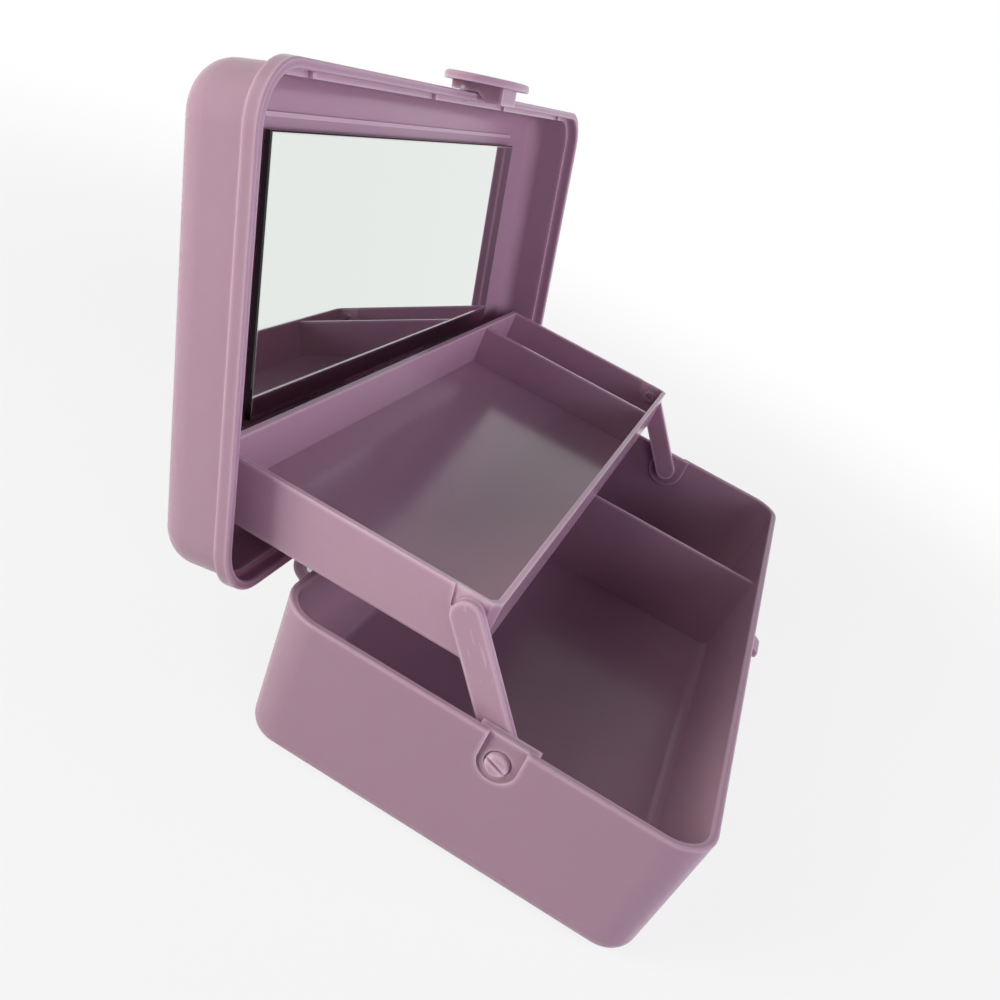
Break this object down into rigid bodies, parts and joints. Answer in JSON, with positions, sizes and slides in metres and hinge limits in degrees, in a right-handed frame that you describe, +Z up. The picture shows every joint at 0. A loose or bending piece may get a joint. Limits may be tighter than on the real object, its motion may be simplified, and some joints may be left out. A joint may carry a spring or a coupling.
{
  "type": "cosmetic case with raising tray",
  "caption": "Hinged-lid cosmetic case with a mirror inside the lid, a link-raised tray, divided tub, front latch and folding handle.",
  "frame": {"origin": "centre of the tub's flat underside, on the surface it stands on", "axes": "+X along the width with the tub's narrow compartment on +X, +Y from the latch side to the hinges, +Z up"},
  "size_m": [0.2718, 0.1947, 0.1749],
  "materials": {
    "tub_plastic": "satin gloss",
    "lid_plastic": "satin gloss",
    "tray_plastic": "satin gloss",
    "link_plastic": "satin gloss",
    "latch_plastic": "satin gloss",
    "handle_plastic": "satin gloss",
    "mirror_glass": "polished",
    "adhesive_foam": "matt foam",
    "pin_steel": "drawn"
  },
  "bodies": {
    "tub": {"base_tub": "tub_plastic", "left_hinge_pin": "pin_steel", "right_hinge_pin": "pin_steel"},
    "lid": {"lid_shell": "lid_plastic", "mirror": "mirror_glass", "mirror_pads": "adhesive_foam", "latch_pin": "pin_steel"},
    "tray": {"tray": "tray_plastic"},
    "left_link": {"left_link": "link_plastic"},
    "right_link": {"right_link": "link_plastic"},
    "latch": {"latch": "latch_plastic"},
    "handle": {"carry_handle": "handle_plastic"}
  },
  "joints": [
    {"name": "lid_hinge", "type": "hinge", "parent": "tub", "child": "lid", "pos_m": [0, 0.06815, 0.03765], "axis": [1, 0, 0], "range_deg": [0, 104]},
    {"name": "tray_pivot", "type": "hinge", "parent": "lid", "child": "tray", "pos_m": [0, 0.09216, 0.06762], "axis": [1, 0, 0], "range_deg": [-104, 0]},
    {"name": "left_link_foot", "type": "hinge", "parent": "tub", "child": "left_link", "pos_m": [-0.1269, -0.00671, 0.0381], "axis": [1, 0, 0], "range_deg": [0, 104]},
    {"name": "right_link_foot", "type": "hinge", "parent": "tub", "child": "right_link", "pos_m": [0.1269, -0.00671, 0.0381], "axis": [1, 0, 0], "range_deg": [0, 104]},
    {"name": "latch_pivot", "type": "hinge", "parent": "lid", "child": "latch", "pos_m": [0, 0.11138, 0.16662], "axis": [-1, 0, 0], "range_deg": [0, 35]},
    {"name": "handle_pivot", "type": "hinge", "parent": "lid", "child": "handle", "pos_m": [0, 0.11825, 0.09952], "axis": [1, 0, 0], "range_deg": [-14, 76]}
  ],
  "couplings": [
    {"joint": "tray_pivot", "follows": "lid_hinge", "ratio": -1},
    {"joint": "left_link_foot", "follows": "lid_hinge", "ratio": 1},
    {"joint": "right_link_foot", "follows": "lid_hinge", "ratio": 1}
  ]
}
